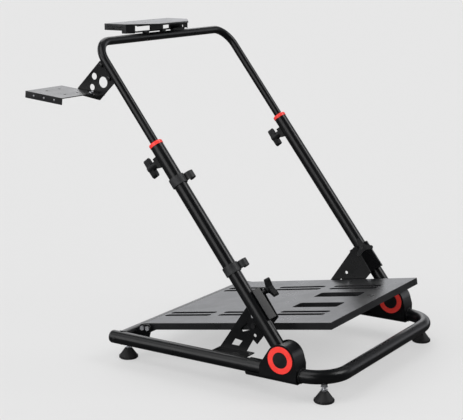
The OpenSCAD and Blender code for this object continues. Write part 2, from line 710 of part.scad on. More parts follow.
shifter_hole_dy = 60;
module shifter_plate() color(satin) in_part() translate([shifter_inner_x, shifter_y0, shifter_z])
    rotate([-shifter_tilt, 0, 0]) difference() {
        translate([flange_inset, 0, -shifter_lip]) cube([shifter_w - flange_inset, shifter_len, shifter_lip]);
        translate([-over, -over, -shifter_lip - over])
            cube([shifter_w + over - shifter_t, shifter_len + 2 * over, shifter_lip + over - shifter_t]);
        translate([0, shifter_len, -shifter_lip]) rotate(45)
            translate([-shifter_corner, -shifter_corner / sqrt(2), 0])
                cube([2 * shifter_corner, shifter_corner, 2 * shifter_lip]);
        translate([shifter_w / 2, shifter_len / 2, -shifter_lip]) for (x = [-1, 1]) for (y = [-1, 1])
            translate([x * shifter_hole_dx / 2, y * shifter_hole_dy / 2, 0])
                cylinder(r = plate_hole_r, h = shifter_lip + over, $fn = fine_fn);
    }
module shifter_bolts() color(black) in_part() {
    for (b = side_bolts) translate([side_x, b[0], b[1]]) along_x() {
        cylinder(r = screw_r, h = side_t, $fn = fine_fn);
        translate([0, 0, side_t]) cylinder(r = screw_head_r, h = bolt_head_h, $fn = fine_fn);
        translate([0, 0, -bolt_head_h]) cylinder(r = screw_head_r, h = bolt_head_h, $fn = 6);
    }
}
module plate_screw() translate([plate_bolt[0], shifter_y0, shifter_z]) rotate([-shifter_tilt, 0, 0])
    translate([0, plate_bolt[1] - shifter_y0, -shifter_t])
        cylinder(r = screw_head_r, h = bolt_head_h, $fn = fine_fn);
module plate_bolt_head() color(zinc) in_part() plate_screw();

// Pedal plate: slotted sheet with bent lips, pivoted at its rear corners
pedal_rear = [-249, 94.4];
outer_slot_x = 146;
inner_slot_x = 58.5;
slot_w = 18;
slot_pitch = 28;
slot_rows = [[10, 160], [186, 335], [364, 510]];
inner_slot_w = 50;
inner_slot_row = [367, 502];
module rounded_slot(w, len) {
    translate([0, w / 2]) circle(d = w, $fn = fine_fn);
    translate([0, len - w / 2]) circle(d = w, $fn = fine_fn);
    translate([-w / 2, w / 2]) square([w, len - w]);
}
slot_corner = 8;
module cornered_slot(w, len, r) {
    for (x = [r - w / 2, w / 2 - r]) for (y = [r, len - r]) translate([x, y]) circle(r = r, $fn = fine_fn);
    translate([-w / 2, r]) square([w, len - 2 * r]);
    translate([r - w / 2, 0]) square([w - 2 * r, len]);
}
module pedal_plate() color(satin) in_part() difference() {
    translate([0, pedal_rear[0], pedal_rear[1]]) rotate([pedal_tilt, 0, 0]) difference() {
        translate([-pedal_half_w, 0, -pedal_lip]) cube([2 * pedal_half_w, pedal_len, pedal_lip]);
        translate([pedal_t - pedal_half_w, pedal_t, -pedal_lip - over])
            cube([2 * (pedal_half_w - pedal_t), pedal_len - 2 * pedal_t, pedal_lip + over - pedal_t]);
        translate([0, 0, -pedal_lip]) linear_extrude(pedal_lip + over) {
            for (s = [-1, 1]) for (row = slot_rows) for (d = [-1, 1])
                translate([s * outer_slot_x + d * slot_pitch / 2, row[0]])
                    rounded_slot(slot_w, row[1] - row[0]);
            for (s = [-1, 1]) translate([s * inner_slot_x, inner_slot_row[0]])
                cornered_slot(inner_slot_w, inner_slot_row[1] - inner_slot_row[0], slot_corner);
        }
    }
    translate([-rail_x, pivot[0], pivot[1]]) along_x()
        cylinder(r = bolt_r + fit_gap, h = 2 * rail_x, $fn = fine_fn);
}

front_tube();
rail_right();
rail_left();
rear_cross_tube();
rail_plugs();
foot_front_right();
foot_front_left();
foot_rear_right();
foot_rear_left();
foot_studs();
hinge_housing_right();
hinge_housing_left();
hinge_rings_right();
hinge_rings_left();
hinge_pin_right();
hinge_pin_left();
brace_right();
brace_left();
clamp_cradle_right();
clamp_cradle_left();
clamp_knob_right();
clamp_knob_left();
pedal_bracket_right();
pedal_bracket_left();
pedal_bolts();
upright_right();
upright_left();
height_collar_right();
height_collar_left();
knob_boss_right();
knob_boss_left();
height_knob_right();
height_knob_left();
upright_rivets();
cable_clip_upper();
cable_clip_lower();
top_tube();
wheel_bracket();
wheel_plate();
wheel_bolts();
shifter_bracket();
shifter_plate();
shifter_bolts();
plate_bolt_head();
pedal_plate();
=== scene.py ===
"""Looks of the racing wheel stand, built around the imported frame.

Lengths in Blender are in metres. Sizes of details are in the design's millimetres, and go through mm or at().
"""
import json
import math

import bmesh
import bpy
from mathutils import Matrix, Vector


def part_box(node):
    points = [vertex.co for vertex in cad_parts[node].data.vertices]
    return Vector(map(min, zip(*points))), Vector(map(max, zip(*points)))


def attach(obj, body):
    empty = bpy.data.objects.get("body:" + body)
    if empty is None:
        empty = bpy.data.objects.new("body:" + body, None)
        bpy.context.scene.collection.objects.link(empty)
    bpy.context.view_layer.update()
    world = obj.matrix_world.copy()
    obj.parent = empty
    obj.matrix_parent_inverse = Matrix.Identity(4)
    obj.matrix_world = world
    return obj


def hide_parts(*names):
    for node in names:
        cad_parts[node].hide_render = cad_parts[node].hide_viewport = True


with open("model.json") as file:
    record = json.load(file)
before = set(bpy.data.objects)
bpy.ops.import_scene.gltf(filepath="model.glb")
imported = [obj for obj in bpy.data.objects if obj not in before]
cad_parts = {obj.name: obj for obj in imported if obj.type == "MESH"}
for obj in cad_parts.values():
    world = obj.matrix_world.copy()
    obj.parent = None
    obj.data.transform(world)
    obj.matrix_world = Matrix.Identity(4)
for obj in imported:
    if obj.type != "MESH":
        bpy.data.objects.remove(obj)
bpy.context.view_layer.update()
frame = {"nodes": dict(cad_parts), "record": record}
nodes = frame["nodes"]

mm = 0.001
view_azimuth = 122.84
view_elevation = 12.16

# The design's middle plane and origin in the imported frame, found from the hinge pins
hinge_y = 225.0
hinge_z = 101.3
pin_low, pin_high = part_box("hinge_pin_right")
middle_x = (pin_high.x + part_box("hinge_pin_left")[0].x) / 2
design_y = (pin_low.y + pin_high.y) / 2 - hinge_y * mm


def at(x, y, z):
    """A point given in millimetres from the design's own origin."""
    return Vector((middle_x + x * mm, design_y + y * mm, z * mm))


def direction(azimuth, elevation):
    """A unit vector from two angles in degrees. Azimuth 0 is towards -Y and 90 towards +X."""
    around = math.radians(azimuth)
    up = math.radians(elevation)
    return Vector((math.sin(around) * math.cos(up), -math.cos(around) * math.cos(up), math.sin(up)))


# Camera
def make_camera():
    """The camera at the photograph's viewpoint, solved from the tube outlines."""
    distance = 3.4755
    aim_y = -0.1286
    aim_z = 0.37445
    focal_pixels = 1264.84
    photo_width = 463
    sensor = 36
    near_clip = 0.05
    far_clip = 60
    aim = Vector((middle_x, design_y + aim_y, aim_z))
    back = direction(view_azimuth, view_elevation)
    data = bpy.data.cameras.new("camera")
    data.sensor_fit = "HORIZONTAL"
    data.sensor_width = sensor
    data.lens = sensor * focal_pixels / photo_width
    data.clip_start = near_clip
    data.clip_end = far_clip
    camera = bpy.data.objects.new("camera", data)
    bpy.context.scene.collection.objects.link(camera)
    camera.location = aim + distance * back
    camera.rotation_mode = "QUATERNION"
    camera.rotation_quaternion = (-back).to_track_quat("-Z", "Y")
    bpy.context.scene.camera = camera


make_camera()


# Materials
def new_material(name):
    """A new material with its node tree, its shader and a node of coordinates."""
    material = bpy.data.materials.new(name)
    material.use_nodes = True
    tree = material.node_tree
    shader = tree.nodes["Principled BSDF"]
    coords = tree.nodes.new("ShaderNodeTexCoord")
    return material, tree, shader, coords


def add_noise(tree, coords, scale, detail=3.0, stretch=(1, 1, 1)):
    """Noise in the object's own coordinates, stretched along an axis where asked."""
    mapping = tree.nodes.new("ShaderNodeMapping")
    mapping.inputs["Scale"].default_value = stretch
    noise = tree.nodes.new("ShaderNodeTexNoise")
    noise.inputs["Scale"].default_value = scale
    noise.inputs["Detail"].default_value = detail
    tree.links.new(coords.outputs["Object"], mapping.inputs["Vector"])
    tree.links.new(mapping.outputs["Vector"], noise.inputs["Vector"])
    return noise.outputs["Fac"]


def add_ramp(tree, source, low, high, low_at=0.35, high_at=0.65):
    """Low where the source is low_at or less, rising to high at high_at."""
    ramp = tree.nodes.new("ShaderNodeMapRange")
    ramp.inputs["From Min"].default_value = low_at
    ramp.inputs["From Max"].default_value = high_at
    ramp.inputs["To Min"].default_value = low
    ramp.inputs["To Max"].default_value = high
    tree.links.new(source, ramp.inputs["Value"])
    return ramp.outputs["Result"]


def add_colour(tree, source, low, high):
    """A colour between two, by the source."""
    mix = tree.nodes.new("ShaderNodeMix")
    mix.data_type = "RGBA"
    mix.inputs["A"].default_value = (*low, 1)
    mix.inputs["B"].default_value = (*high, 1)
    tree.links.new(source, mix.inputs["Factor"])
    return mix.outputs["Result"]


def add_bump(tree, shader, source, height):
    """Fine relief on the shader's surface, by the source."""
    bump = tree.nodes.new("ShaderNodeBump")
    bump.inputs["Distance"].default_value = height
    bump.inputs["Strength"].default_value = 1.0
    tree.links.new(source, bump.inputs["Height"])
    tree.links.new(bump.outputs["Normal"], shader.inputs["Normal"])


def add_uneven_skin(tree, shader, coords, patch_scale, low, high, roughness, unevenness):
    """Broad patches that vary the colour and the roughness a little."""
    broad = add_noise(tree, coords, patch_scale)
    tree.links.new(add_colour(tree, add_ramp(tree, broad, 0, 1), low, high), shader.inputs["Base Color"])
    spread = add_ramp(tree, broad, roughness - unevenness, roughness + unevenness)
    tree.links.new(spread, shader.inputs["Roughness"])


def powder_coat(name, low, high, roughness, gloss, grain, height):
    """Powder coat: a fine orange-peel skin with slightly uneven gloss."""
    material, tree, shader, coords = new_material(name)
    add_uneven_skin(tree, shader, coords, patch_scale=14.0, low=low, high=high, roughness=roughness,
                    unevenness=0.03)
    shader.inputs["Specular IOR Level"].default_value = gloss
    add_bump(tree, shader, add_noise(tree, coords, grain), height)
    return material


def plastic(name, low, high, roughness, grain, height, coat=0.0):
    """Moulded plastic or rubber with a fine grain, and a thin clear coat where asked."""
    coat_roughness = 0.15
    material, tree, shader, coords = new_material(name)
    add_uneven_skin(tree, shader, coords, patch_scale=40.0, low=low, high=high, roughness=roughness,
                    unevenness=0.04)
    shader.inputs["Coat Weight"].default_value = coat
    shader.inputs["Coat Roughness"].default_value = coat_roughness
    add_bump(tree, shader, add_noise(tree, coords, grain), height)
    return material


def bright_metal(name, low, high):
    """Zinc plate with fine streaks."""
    material, tree, shader, coords = new_material(name)
    streak = add_noise(tree, coords, scale=500.0, detail=2.0, stretch=(1, 1, 0.1))
    shader.inputs["Metallic"].default_value = 1.0
    tree.links.new(add_colour(tree, streak, low, high), shader.inputs["Base Color"])
    tree.links.new(add_ramp(tree, streak, low=0.38, high=0.48), shader.inputs["Roughness"])
    add_bump(tree, shader, streak, height=0.00002)
    return material


materials = {
    "frame_coat": powder_coat("frame_coat", low=(0.003, 0.0032, 0.0038), high=(0.005, 0.0053, 0.006),
                              roughness=0.30, gloss=0.42, grain=900.0, height=0.00002),
    "plate_coat": powder_coat("plate_coat", low=(0.008, 0.0083, 0.0095), high=(0.012, 0.0124, 0.0138),
                              roughness=0.30, gloss=0.6, grain=1300.0, height=0.00004),
    "black_plastic": plastic("black_plastic", low=(0.004, 0.0042, 0.005), high=(0.008, 0.0084, 0.0095),
                             roughness=0.42, grain=1500.0, height=0.00003),
    "red_plastic": plastic("red_plastic", low=(0.90, 0.034, 0.024), high=(0.96, 0.044, 0.032),
                           roughness=0.40, grain=1200.0, height=0.00002, coat=0.1),
    "foot_rubber": plastic("foot_rubber", low=(0.006, 0.006, 0.007), high=(0.012, 0.012, 0.013),
                           roughness=0.62, grain=900.0, height=0.00005),
    "zinc": bright_metal("zinc", low=(0.62, 0.63, 0.66), high=(0.78, 0.79, 0.82)),
}

# Two finishes that have no slot of their own: the clips' and plugs' nylon, and blackened screws
nylon = plastic("nylon", low=(0.014, 0.0145, 0.0155), high=(0.026, 0.027, 0.0285),
                roughness=0.5, grain=700.0, height=0.00012)
dark_steel = plastic("dark_steel", low=(0.004, 0.004, 0.005), high=(0.010, 0.010, 0.011),
                     roughness=0.35, grain=1800.0, height=0.00001)

# How wide each finish's edges are rounded
edge_widths = {"frame_coat": 0.0006, "plate_coat": 0.0008, "black_plastic": 0.001, "red_plastic": 0.0005,
               "foot_rubber": 0.0008, "zinc": 0.0003}


def soften(piece, width):
    """Join a mesh's doubled points, round its sharp edges, and weight its normals by face."""
    same_point = 0.000002
    sharp_angle = 40
    flat_face_weight = 80
    weld = piece.modifiers.new("weld", "WELD")
    weld.merge_threshold = same_point
    bevel = piece.modifiers.new("edges", "BEVEL")
    bevel.width = width
    bevel.segments = 2
    bevel.limit_method = "ANGLE"
    bevel.angle_limit = math.radians(sharp_angle)
    bevel.use_clamp_overlap = True
    bevel.harden_normals = False
    normals = piece.modifiers.new("normals", "WEIGHTED_NORMAL")
    normals.keep_sharp = False
    normals.weight = flat_face_weight


# Each node of the frame keeps its shape and takes its slot's material
for row in frame["record"]["subparts"]:
    piece = nodes[row["node"]]
    piece.data.materials.clear()
    piece.data.materials.append(materials[row["material_slot"]])
    for face in piece.data.polygons:
        face.use_smooth = True
        face.material_index = 0
    soften(piece, edge_widths[row["material_slot"]])

# Sizes of the design that several details are placed by, in millimetres
rail_x = 305.0
rail_z = 63.3
tube_r = 17.5
bar_r = 11.0
cross_tube_y = -282.0
shifter_y = -471
shifter_z = 724.7
shifter_slope = math.radians(5.2)
shifter_up = Vector((0, math.sin(shifter_slope), math.cos(shifter_slope)))
shifter_ahead = Vector((0, math.cos(shifter_slope), -math.sin(shifter_slope)))

# Directions along the leaning uprights, and square to them towards the front
lean = math.radians(37.8)
up_tube = Vector((0, -math.sin(lean), math.cos(lean)))
off_tube = Vector((0, math.cos(lean), math.sin(lean)))


def knob_direction(side):
    """Out of an upright, inwards and to the front, as the clamp knobs and the cable clips point."""
    inwards = 0.849
    forwards = 0.528
    return Vector((-inwards * side, 0, 0)) + off_tube * forwards


# Tools for small forms
def add_piece(name, vertices, faces, body, slot_name, width=0.0, finish=None):
    """A new piece from points and faces, on its body, with its slot's material unless another finish is
    given, and its edges rounded where asked.
    """
    mesh = bpy.data.meshes.new(name)
    mesh.from_pydata([tuple(v) for v in vertices], [], faces)
    mesh.update()
    form = bmesh.new()
    form.from_mesh(mesh)
    bmesh.ops.recalc_face_normals(form, faces=form.faces)
    form.to_mesh(mesh)
    form.free()
    for face in mesh.polygons:
        face.use_smooth = True
    mesh.materials.append(finish or materials[slot_name])
    piece = bpy.data.objects.new(name, mesh)
    bpy.context.scene.collection.objects.link(piece)
    if width:
        soften(piece, width)
    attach(piece, body)
    return piece


def join_forms(forms):
    """One list of vertices and one of faces from several."""
    vertices = []
    faces = []
    for more, rows in forms:
        start = len(vertices)
        vertices.extend(more)
        faces.extend(tuple(i + start for i in row) for row in rows)
    return vertices, faces


def skin_rows(rows, segments, closed=False):
    """Faces between rows of points, each row a closed loop of the same count."""
    faces = []
    last = rows if closed else rows - 1
    for r in range(last):
        n = (r + 1) % rows
        for i in range(segments):
            j = (i + 1) % segments
            faces.append((r * segments + i, r * segments + j, n * segments + j, n * segments + i))
    return faces


def end_caps(rows, segments):
    """The two faces that close the first and the last row."""
    return [tuple(range(segments)), tuple(range((rows - 1) * segments, rows * segments))]


def revolve(profile, centre, axis, segments=40, ring=False):
    """A turned form. The profile's points are radius and height along the axis, in millimetres."""
    along = axis.normalized()
    side = along.orthogonal().normalized()
    other = along.cross(side)
    vertices = []
    for radius, height in profile:
        for i in range(segments):
            turn = 2 * math.pi * i / segments
            spoke = side * math.cos(turn) + other * math.sin(turn)
            vertices.append(centre + (spoke * radius + along * height) * mm)
    faces = skin_rows(len(profile), segments, ring)
    if not ring:
        faces += end_caps(len(profile), segments)
    return vertices, faces


def socket_head(centre, axis, radius, socket_r, height, segments=36):
    """A low domed screw head with a six-sided socket, open down to the face that it sits on."""
    wall_rise = 0.4
    shoulder_reach = 0.88
    shoulder_rise = 0.8
    rim_reach = 1.3
    rows = [(radius, 0, False), (radius, height * wall_rise, False),
            (radius * shoulder_reach, height * shoulder_rise, False),
            (socket_r * rim_reach, height, False), (socket_r, height, True), (socket_r, 0, True)]
    along = axis.normalized()
    side = along.orthogonal().normalized()
    other = along.cross(side)
    sixth = math.pi / 3
    vertices = []
    for reach, rise, sided in rows:
        for i in range(segments):
            turn = 2 * math.pi * i / segments
            share = math.cos(sixth / 2) / math.cos(turn % sixth - sixth / 2) if sided else 1.0
            spoke = side * math.cos(turn) + other * math.sin(turn)
            vertices.append(centre + (spoke * reach * share + along * rise) * mm)
    return vertices, skin_rows(len(rows), segments, True)


def bead(path, radius, pitch=3.2, sides=10, step=0.8):
    """A weld bead along a path in millimetres of the design, with the ripples of its passes."""
    ripple = 0.2
    end_share = 0.4
    points = [Vector(p) for p in path]
    samples = []
    for a, b in zip(points, points[1:]):
        count = max(1, round((b - a).length / step))
        samples += [a.lerp(b, i / count) for i in range(count)]
    samples.append(points[-1])
    run = 0.0
    normal = None
    vertices = []
    for i, point in enumerate(samples):
        ahead = samples[min(i + 1, len(samples) - 1)] - samples[max(i - 1, 0)]
        tangent = ahead.normalized()
        normal = tangent.orthogonal() if normal is None else normal - tangent * normal.dot(tangent)
        normal.normalize()
        other = tangent.cross(normal)
        if i:
            run += (point - samples[i - 1]).length
        swell = radius * (1 - ripple + ripple * abs(math.cos(math.pi * run / pitch)))
        if i in (0, len(samples) - 1):
            swell *= end_share
        for k in range(sides):
            turn = 2 * math.pi * k / sides
            place = point + (normal * math.cos(turn) + other * math.sin(turn)) * swell
            vertices.append(at(*place))
    return vertices, skin_rows(len(samples), sides) + end_caps(len(samples), sides)


def arc(centre, radius, start, end, count=24):
    """Points of an arc about the X axis, at the given X, in millimetres and degrees."""
    x, y, z = centre
    turns = [math.radians(start + (end - start) * i / count) for i in range(count + 1)]
    return [(x, y + radius * math.cos(t), z + radius * math.sin(t)) for t in turns]


def strip(centre, across, over, along, inner, outer, half, start, end, steps=48):
    """A flat strip bent round a centre, from one angle to another, in millimetres and degrees."""
    closed = end - start >= 360
    count = steps if closed else steps + 1
    vertices = []
    for i in range(count):
        turn = math.radians(start + (end - start) * i / steps)
        spoke = across * math.cos(turn) + over * math.sin(turn)
        for reach, rise in ((inner, -half), (outer, -half), (outer, half), (inner, half)):
            vertices.append(centre + (spoke * reach + along * rise) * mm)
    faces = skin_rows(count, 4, closed)
    if not closed:
        faces += end_caps(count, 4)
    return vertices, faces


def slot_loop(x, start, end, width, corner, grow, steps=8):
    """The outline of a slot with round corners, grown by a distance, in the pedal plate's plane."""
    half = width / 2 + grow
    r = corner + grow
    low = start - grow
    high = end + grow
    loop = []
    for cx, cy, turn in ((x + half - r, high - r, 0), (x - half + r, high - r, 90),
                         (x - half + r, low + r, 180), (x + half - r, low + r, 270)):
        for i in range(steps + 1):
            a = math.radians(turn + 90 * i / steps)
            loop.append((cx + r * math.cos(a), cy + r * math.sin(a)))
    return loop


# Details that are too small for the solids, or finer than they are there
def make_floor_frame_welds():
    """Beads along the braces' feet, round the pedal brackets and where the cross tube meets the rails."""
    foot_inset = 9.0
    foot_rise = math.sqrt(tube_r ** 2 - foot_inset ** 2)
    foot_start = 3
    foot_end = 103
    foot_bead_r = 1.7
    bracket_x = 253.0
    bracket_t = 3.0
    bracket_fit = 0.3
    bracket_from = -85
    bracket_to = 55
    bracket_bead_r = 1.6
    saddle_fit = 0.4
    saddle_r = tube_r + saddle_fit
    saddle_steps = 48
    saddle_bead_r = 1.8
    beads = []
    for s in (-1, 1):
        x = s * (rail_x - foot_inset)
        foot_z = rail_z + foot_rise
        beads.append(bead([(x, foot_start, foot_z), (x, foot_end, foot_z)], foot_bead_r))
        for face_x in (bracket_x, bracket_x + bracket_t):
            centre = (s * face_x, cross_tube_y, rail_z)
            ring = arc(centre, tube_r + bracket_fit, bracket_from, bracket_to)
            beads.append(bead(ring, bracket_bead_r))
        saddle = []
        for i in range(saddle_steps + 1):
            turn = 2 * math.pi * i / saddle_steps
            reach = rail_x - saddle_r * abs(math.cos(turn))
            saddle.append((s * reach, cross_tube_y + saddle_r * math.cos(turn),
                           rail_z + saddle_r * math.sin(turn)))
        beads.append(bead(saddle, saddle_bead_r))
    add_piece("floor_frame_welds", *join_forms(beads), "base", "frame_coat")


def make_top_frame_welds():
    """Beads along the wheel bracket's feet on the top bar, and beside the shifter's side plate."""
    bar_y = -350.52
    bar_z = 843.256
    foot_edges = (-347.0, -357.5)
    foot_spans = ((-94, -40), (-4, 11), (73, 90))
    foot_bead_r = 1.3
    foot_bead_pitch = 2.6
    side_fit = 0.5
    side_x = rail_x - bar_r + side_fit
    side_edges = (-3.2, 3.2)
    side_span = (832.0, 862.0)
    side_bead_r = 1.2
    side_bead_pitch = 2.4
    beads = []
    for start, end in foot_spans:
        for y in foot_edges:
            z = bar_z + math.sqrt(bar_r ** 2 - (y - bar_y) ** 2)
            beads.append(bead([(start, y, z), (end, y, z)], foot_bead_r, foot_bead_pitch))
    for across in side_edges:
        line = []
        for along in side_span:
            place = Vector((0, hinge_y, hinge_z)) + up_tube * along + off_tube * across
            line.append((side_x, place.y, place.z))
        beads.append(bead(line, side_bead_r, side_bead_pitch))
    add_piece("top_frame_welds", *join_forms(beads), "upper_frame", "frame_coat")


def make_studs():
    """Screw threads on the feet's studs, and a washer on each nut."""
    stud_places = ((282.16, 321.97), (273.5, cross_tube_y))
    stud_r = 4.0
    pitch = 1.25
    depth = 0.55
    thread_z = 29.0
    thread_len = 12.0
    rows = 60
    segments = 24
    washer_bore_r = 4.3
    washer_r = 9.0
    washer_t = 1.0
    washer_heights = (31.0, 38.8)
    washer = [(washer_bore_r, 0), (washer_r, 0), (washer_r, washer_t), (washer_bore_r, washer_t)]
    threads = []
    washers = []
    for x, y in stud_places:
        for s in (-1, 1):
            vertices = []
            for r in range(rows):
                z = thread_z + thread_len * r / (rows - 1)
                for i in range(segments):
                    turn = 2 * math.pi * i / segments
                    phase = (z / pitch - i / segments) % 1.0
                    reach = stud_r + depth * (1 - abs(2 * phase - 1))
                    vertices.append(at(s * x + reach * math.cos(turn), y + reach * math.sin(turn), z))
            threads.append((vertices, skin_rows(rows, segments)))
            for z in washer_heights:
                washers.append(revolve(washer, at(s * x, y, z), Vector((0, 0, 1)), ring=True))
    add_piece("stud_threads", *join_forms(threads), "base", "zinc")
    add_piece("stud_washers", *join_forms(washers), "base", "zinc", width=0.0002)


def make_rail_ends():
    """Seals round the front tube at the hinge housings, and a screw in the end of each rail."""
    seal_bore_r = 17.6
    seal_edge_r = 19.4
    seal_r = 19.8
    seal_edge = 0.6
    seal_len = 3.8
    seal_ahead = 44.6
    seal = [(seal_bore_r, 0), (seal_edge_r, 0), (seal_r, seal_edge), (seal_r, seal_len - seal_edge),
            (seal_edge_r, seal_len), (seal_bore_r, seal_len)]
    screw_y = -294
    screw_out = 16.6
    screw_r = 5.2
    screw_socket_r = 2.2
    screw_height = 3.4
    seals = []
    screws = []
    for s in (-1, 1):
        place = at(s * rail_x, hinge_y + seal_ahead, rail_z)
        seals.append(revolve(seal, place, Vector((0, 1, 0)), segments=48, ring=True))
        screws.append(socket_head(at(s * (rail_x + screw_out), screw_y, rail_z), Vector((s, 0, 0)),
                                  screw_r, screw_socket_r, screw_height))
    add_piece("front_tube_seals", *join_forms(seals), "base", "black_plastic", width=0.0002)
    add_piece("rail_end_screws", *join_forms(screws), "base", "zinc", width=0.0002, finish=dark_steel)


def make_shifter_screws():
    """Screw heads in the shifter plate's lip, on its side plate and on its top."""
    outwards = Vector((1, 0, 0))
    lip_out = 133
    lip_sunk = 0.3
    lip_drop = 9
    lip_places = (28.0, 62.0, 96.0)
    lip_head = {"radius": 2.6, "socket_r": 1.2, "height": 1.1}
    lip_root = at(rail_x + lip_out - lip_sunk, shifter_y, shifter_z) - shifter_up * lip_drop * mm
    lip_heads = []
    for along in lip_places:
        lip_heads.append(socket_head(lip_root + shifter_ahead * along * mm, outwards, **lip_head))
    add_piece("shifter_lip_screws", *join_forms(lip_heads), "upper_frame", "zinc", width=0.0001)

    side_plate_t = 4.0
    side_x = rail_x - bar_r + side_plate_t
    side_places = ((-339, 785), (-313.6, 752))
    button_head = {"radius": 6.0, "socket_r": 2.8, "height": 1.4}
    heads = [socket_head(at(side_x, y, z), outwards, **button_head) for y, z in side_places]
    add_piece("side_plate_screws", *join_forms(heads), "upper_frame", "zinc", width=0.0001, finish=dark_steel)

    top_x = 312
    top_along = 113
    top_rise = 1.5
    place = at(top_x, shifter_y, shifter_z) + (shifter_ahead * top_along + shifter_up * top_rise) * mm
    head = socket_head(place, shifter_up, **button_head)
    add_piece("plate_screw_top", *head, "upper_frame", "zinc", width=0.0001)


def make_knob_caps():
    """Caps with a raised rim in the knobs' heads."""
    cap = [(7.4, -0.4), (7.4, 0.7), (6.8, 1.2), (5.2, 1.2), (4.8, 0.8), (3.4, 0.8), (3.0, 1.1), (1.0, 1.2)]
    clamp_along = 167
    clamp_out = 68
    height_along = 585
    height_out = 58.3
    clamps = []
    heights = []
    for s in (-1, 1):
        root = at(s * rail_x, hinge_y, hinge_z)
        out = knob_direction(s)
        clamps.append(revolve(cap, root + (up_tube * clamp_along + out * clamp_out) * mm, out))
        heights.append(revolve(cap, root + (up_tube * height_along - off_tube * height_out) * mm, -off_tube))
    add_piece("clamp_knob_caps", *join_forms(clamps), "base", "black_plastic", width=0.0001)
    add_piece("height_knob_caps", *join_forms(heights), "uprights", "black_plastic", width=0.0001)


def make_slot_flanges():
    """The turned-down rims under the pedal plate's slots."""
    tilt = math.radians(9.7)
    root_y = -249.0
    root_z = 94.4
    rim_top = -1.2
    rim_t = 1.2
    fit = 0.02
    narrow_x = 146
    narrow_spans = ((10, 160), (186, 335), (364, 510))
    narrow_half_gap = 14
    narrow_w = 18
    narrow_corner = 9
    narrow_depth = 6.5
    wide_x = 58.5
    wide_start = 367
    wide_end = 502
    wide_w = 50
    wide_corner = 8
    wide_depth = 13.0
    slots = []
    for s in (-1, 1):
        for start, end in narrow_spans:
            for d in (-narrow_half_gap, narrow_half_gap):
                slots.append((s * narrow_x + d, start, end, narrow_w, narrow_corner, narrow_depth))
        slots.append((s * wide_x, wide_start, wide_end, wide_w, wide_corner, wide_depth))
    forms = []
    for x, start, end, width, corner, depth in slots:
        inner = slot_loop(x, start, end, width, corner, fit)
        outer = slot_loop(x, start, end, width, corner, rim_t)
        rows = [(inner, rim_top), (inner, -depth), (outer, -depth), (outer, rim_top)]
        vertices = []
        for loop, z in rows:
            for px, py in loop:
                y = root_y + py * math.cos(tilt) - z * math.sin(tilt)
                vertices.append(at(px, y, root_z + py * math.sin(tilt) + z * math.cos(tilt)))
        forms.append((vertices, skin_rows(len(rows), len(inner), True)))
    add_piece("pedal_slot_flanges", *join_forms(forms), "pedal_plate", "plate_coat", width=0.0003)


def make_clips():
    """The moulded cable clips: a band round the tube and an open hook with a thick lip."""
    clip_places = ((515, "cable_clip_upper"), (254, "cable_clip_lower"))
    band_fit = 0.05
    band_t = 3.6
    band_half = 12
    band_steps = 72
    hook_r = 15.0
    hook_t = 3.4
    hook_half = 10
    hook_from = 150
    hook_to = 424
    lip = [(0.3, -9.6), (2.1, -9.2), (2.4, 0), (2.1, 9.2), (0.3, 9.6)]
    lip_segments = 16
    out = knob_direction(1)
    over = up_tube.cross(out)
    for along, name in clip_places:
        centre = at(rail_x, hinge_y, hinge_z) + up_tube * along * mm
        hook = centre + out * (tube_r + hook_r) * mm
        band = strip(centre, out, over, up_tube, inner=tube_r + band_fit, outer=tube_r + band_t,
                     half=band_half, start=0, end=360, steps=band_steps)
        open_hook = strip(hook, out, over, up_tube, inner=hook_r - hook_t, outer=hook_r,
                          half=hook_half, start=hook_from, end=hook_to)
        forms = [band, open_hook]
        for end in (hook_from, hook_to):
            turn = math.radians(end)
            spoke = out * math.cos(turn) + over * math.sin(turn)
            forms.append(revolve(lip, hook + spoke * (hook_r - hook_t / 2) * mm, up_tube, lip_segments))
        piece = add_piece(name + "_moulded", *join_forms(forms), "uprights", "black_plastic", width=0.0008,
                          finish=nylon)
        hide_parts(name)


def make_hole_plugs():
    """Plugs in the wheel plate's side holes."""
    plug = [(2.3, -1.6), (2.4, -0.4), (2.0, 0.1), (0.8, 0.2)]
    plug_segments = 20
    plate_side = 143.9
    plate_top = 879.5
    hole_drop = 8.75
    side_start = -444.5
    side_len = 72.5
    side_holes = 3
    plugs = []
    for s in (-1, 1):
        for i in range(side_holes):
            y = side_start + (i + 0.5) * side_len / side_holes
            place = at(s * plate_side, y, plate_top - hole_drop)
            plugs.append(revolve(plug, place, Vector((s, 0, 0)), plug_segments))
    add_piece("wheel_plate_plugs", *join_forms(plugs), "upper_frame", "black_plastic", finish=nylon)


make_floor_frame_welds()
make_top_frame_welds()
make_studs()
make_rail_ends()
make_shifter_screws()
make_knob_caps()
make_slot_flanges()
make_clips()
make_hole_plugs()

# The shifter bolts and the tilt arc's bolts are dark, and the rear pivot bolts stay bright
nodes["shifter_bolts"].data.materials[0] = dark_steel
bolts = nodes["pedal_bolts"].data
bolts.materials.append(dark_steel)
for face in bolts.polygons:
    face.material_index = 1 if face.center.y > design_y else 0

# Stage, world and lights
backdrop = (0.79, 0.79, 0.79)


